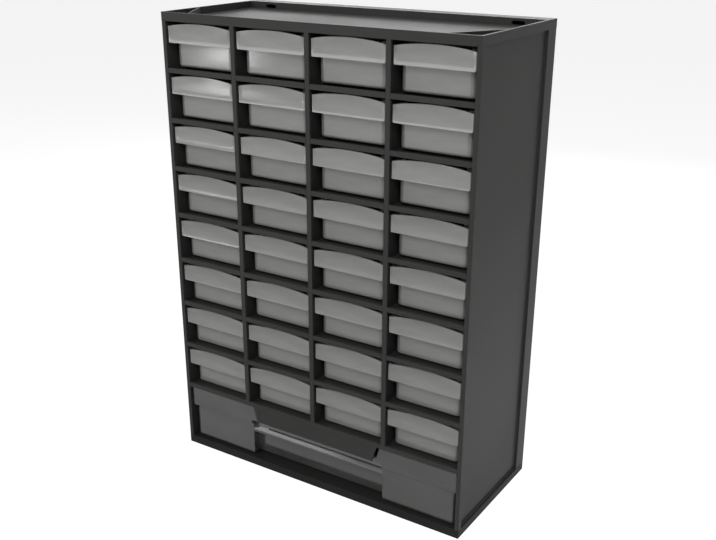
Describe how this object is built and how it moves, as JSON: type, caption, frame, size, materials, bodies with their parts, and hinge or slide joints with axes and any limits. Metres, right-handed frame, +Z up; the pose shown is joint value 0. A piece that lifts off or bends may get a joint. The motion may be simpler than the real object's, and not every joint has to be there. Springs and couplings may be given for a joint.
{
  "type": "parts bin cabinet",
  "caption": "Small-parts cabinet: an upright open-fronted housing with a grid of see-through pull-out bins over one wide drawer, for a bench or a wall.",
  "frame": {"origin": "on the floor under the centre of the housing's footprint", "axes": "+Z up, -Y towards the drawer fronts, +X to the right seen from the front"},
  "size_m": [0.306, 0.136, 0.4234],
  "materials": {
    "case_plastic": "fine textured charcoal moulding",
    "drawer_plastic": "smoke grey translucent, polished"
  },
  "bodies": {
    "housing": {"top_tray": "case_plastic", "base": "case_plastic", "back_panel": "case_plastic", "left_side": "case_plastic", "right_side": "case_plastic", "shelf_1": "case_plastic", "shelf_2": "case_plastic", "shelf_3": "case_plastic", "shelf_4": "case_plastic", "shelf_5": "case_plastic", "shelf_6": "case_plastic", "shelf_7": "case_plastic", "shelf_8": "case_plastic", "divider_1": "case_plastic", "divider_2": "case_plastic", "divider_3": "case_plastic"},
    "wide_drawer_body": {"wide_drawer": "drawer_plastic"},
    "bin_r1_c1": {"drawer_r1_c1": "drawer_plastic"},
    "bin_r1_c2": {"drawer_r1_c2": "drawer_plastic"},
    "bin_r1_c3": {"drawer_r1_c3": "drawer_plastic"},
    "bin_r1_c4": {"drawer_r1_c4": "drawer_plastic"},
    "bin_r2_c1": {"drawer_r2_c1": "drawer_plastic"},
    "bin_r2_c2": {"drawer_r2_c2": "drawer_plastic"},
    "bin_r2_c3": {"drawer_r2_c3": "drawer_plastic"},
    "bin_r2_c4": {"drawer_r2_c4": "drawer_plastic"},
    "bin_r3_c1": {"drawer_r3_c1": "drawer_plastic"},
    "bin_r3_c2": {"drawer_r3_c2": "drawer_plastic"},
    "bin_r3_c3": {"drawer_r3_c3": "drawer_plastic"},
    "bin_r3_c4": {"drawer_r3_c4": "drawer_plastic"},
    "bin_r4_c1": {"drawer_r4_c1": "drawer_plastic"},
    "bin_r4_c2": {"drawer_r4_c2": "drawer_plastic"},
    "bin_r4_c3": {"drawer_r4_c3": "drawer_plastic"},
    "bin_r4_c4": {"drawer_r4_c4": "drawer_plastic"},
    "bin_r5_c1": {"drawer_r5_c1": "drawer_plastic"},
    "bin_r5_c2": {"drawer_r5_c2": "drawer_plastic"},
    "bin_r5_c3": {"drawer_r5_c3": "drawer_plastic"},
    "bin_r5_c4": {"drawer_r5_c4": "drawer_plastic"},
    "bin_r6_c1": {"drawer_r6_c1": "drawer_plastic"},
    "bin_r6_c2": {"drawer_r6_c2": "drawer_plastic"},
    "bin_r6_c3": {"drawer_r6_c3": "drawer_plastic"},
    "bin_r6_c4": {"drawer_r6_c4": "drawer_plastic"},
    "bin_r7_c1": {"drawer_r7_c1": "drawer_plastic"},
    "bin_r7_c2": {"drawer_r7_c2": "drawer_plastic"},
    "bin_r7_c3": {"drawer_r7_c3": "drawer_plastic"},
    "bin_r7_c4": {"drawer_r7_c4": "drawer_plastic"},
    "bin_r8_c1": {"drawer_r8_c1": "drawer_plastic"},
    "bin_r8_c2": {"drawer_r8_c2": "drawer_plastic"},
    "bin_r8_c3": {"drawer_r8_c3": "drawer_plastic"},
    "bin_r8_c4": {"drawer_r8_c4": "drawer_plastic"}
  },
  "joints": [
    {"name": "wide_drawer_slide", "type": "slide", "parent": "housing", "child": "wide_drawer_body", "axis": [0, -1, 0], "range_m": [0, 0.1045]},
    {"name": "bin_r1_c1_slide", "type": "slide", "parent": "housing", "child": "bin_r1_c1", "axis": [0, -1, 0], "range_m": [0, 0.1045]},
    {"name": "bin_r1_c2_slide", "type": "slide", "parent": "housing", "child": "bin_r1_c2", "axis": [0, -1, 0], "range_m": [0, 0.1045]},
    {"name": "bin_r1_c3_slide", "type": "slide", "parent": "housing", "child": "bin_r1_c3", "axis": [0, -1, 0], "range_m": [0, 0.1045]},
    {"name": "bin_r1_c4_slide", "type": "slide", "parent": "housing", "child": "bin_r1_c4", "axis": [0, -1, 0], "range_m": [0, 0.1045]},
    {"name": "bin_r2_c1_slide", "type": "slide", "parent": "housing", "child": "bin_r2_c1", "axis": [0, -1, 0], "range_m": [0, 0.1045]},
    {"name": "bin_r2_c2_slide", "type": "slide", "parent": "housing", "child": "bin_r2_c2", "axis": [0, -1, 0], "range_m": [0, 0.1045]},
    {"name": "bin_r2_c3_slide", "type": "slide", "parent": "housing", "child": "bin_r2_c3", "axis": [0, -1, 0], "range_m": [0, 0.1045]},
    {"name": "bin_r2_c4_slide", "type": "slide", "parent": "housing", "child": "bin_r2_c4", "axis": [0, -1, 0], "range_m": [0, 0.1045]},
    {"name": "bin_r3_c1_slide", "type": "slide", "parent": "housing", "child": "bin_r3_c1", "axis": [0, -1, 0], "range_m": [0, 0.1045]},
    {"name": "bin_r3_c2_slide", "type": "slide", "parent": "housing", "child": "bin_r3_c2", "axis": [0, -1, 0], "range_m": [0, 0.1045]},
    {"name": "bin_r3_c3_slide", "type": "slide", "parent": "housing", "child": "bin_r3_c3", "axis": [0, -1, 0], "range_m": [0, 0.1045]},
    {"name": "bin_r3_c4_slide", "type": "slide", "parent": "housing", "child": "bin_r3_c4", "axis": [0, -1, 0], "range_m": [0, 0.1045]},
    {"name": "bin_r4_c1_slide", "type": "slide", "parent": "housing", "child": "bin_r4_c1", "axis": [0, -1, 0], "range_m": [0, 0.1045]},
    {"name": "bin_r4_c2_slide", "type": "slide", "parent": "housing", "child": "bin_r4_c2", "axis": [0, -1, 0], "range_m": [0, 0.1045]},
    {"name": "bin_r4_c3_slide", "type": "slide", "parent": "housing", "child": "bin_r4_c3", "axis": [0, -1, 0], "range_m": [0, 0.1045]},
    {"name": "bin_r4_c4_slide", "type": "slide", "parent": "housing", "child": "bin_r4_c4", "axis": [0, -1, 0], "range_m": [0, 0.1045]},
    {"name": "bin_r5_c1_slide", "type": "slide", "parent": "housing", "child": "bin_r5_c1", "axis": [0, -1, 0], "range_m": [0, 0.1045]},
    {"name": "bin_r5_c2_slide", "type": "slide", "parent": "housing", "child": "bin_r5_c2", "axis": [0, -1, 0], "range_m": [0, 0.1045]},
    {"name": "bin_r5_c3_slide", "type": "slide", "parent": "housing", "child": "bin_r5_c3", "axis": [0, -1, 0], "range_m": [0, 0.1045]},
    {"name": "bin_r5_c4_slide", "type": "slide", "parent": "housing", "child": "bin_r5_c4", "axis": [0, -1, 0], "range_m": [0, 0.1045]},
    {"name": "bin_r6_c1_slide", "type": "slide", "parent": "housing", "child": "bin_r6_c1", "axis": [0, -1, 0], "range_m": [0, 0.1045]},
    {"name": "bin_r6_c2_slide", "type": "slide", "parent": "housing", "child": "bin_r6_c2", "axis": [0, -1, 0], "range_m": [0, 0.1045]},
    {"name": "bin_r6_c3_slide", "type": "slide", "parent": "housing", "child": "bin_r6_c3", "axis": [0, -1, 0], "range_m": [0, 0.1045]},
    {"name": "bin_r6_c4_slide", "type": "slide", "parent": "housing", "child": "bin_r6_c4", "axis": [0, -1, 0], "range_m": [0, 0.1045]},
    {"name": "bin_r7_c1_slide", "type": "slide", "parent": "housing", "child": "bin_r7_c1", "axis": [0, -1, 0], "range_m": [0, 0.1045]},
    {"name": "bin_r7_c2_slide", "type": "slide", "parent": "housing", "child": "bin_r7_c2", "axis": [0, -1, 0], "range_m": [0, 0.1045]},
    {"name": "bin_r7_c3_slide", "type": "slide", "parent": "housing", "child": "bin_r7_c3", "axis": [0, -1, 0], "range_m": [0, 0.1045]},
    {"name": "bin_r7_c4_slide", "type": "slide", "parent": "housing", "child": "bin_r7_c4", "axis": [0, -1, 0], "range_m": [0, 0.1045]},
    {"name": "bin_r8_c1_slide", "type": "slide", "parent": "housing", "child": "bin_r8_c1", "axis": [0, -1, 0], "range_m": [0, 0.1045]},
    {"name": "bin_r8_c2_slide", "type": "slide", "parent": "housing", "child": "bin_r8_c2", "axis": [0, -1, 0], "range_m": [0, 0.1045]},
    {"name": "bin_r8_c3_slide", "type": "slide", "parent": "housing", "child": "bin_r8_c3", "axis": [0, -1, 0], "range_m": [0, 0.1045]},
    {"name": "bin_r8_c4_slide", "type": "slide", "parent": "housing", "child": "bin_r8_c4", "axis": [0, -1, 0], "range_m": [0, 0.1045]}
  ]
}
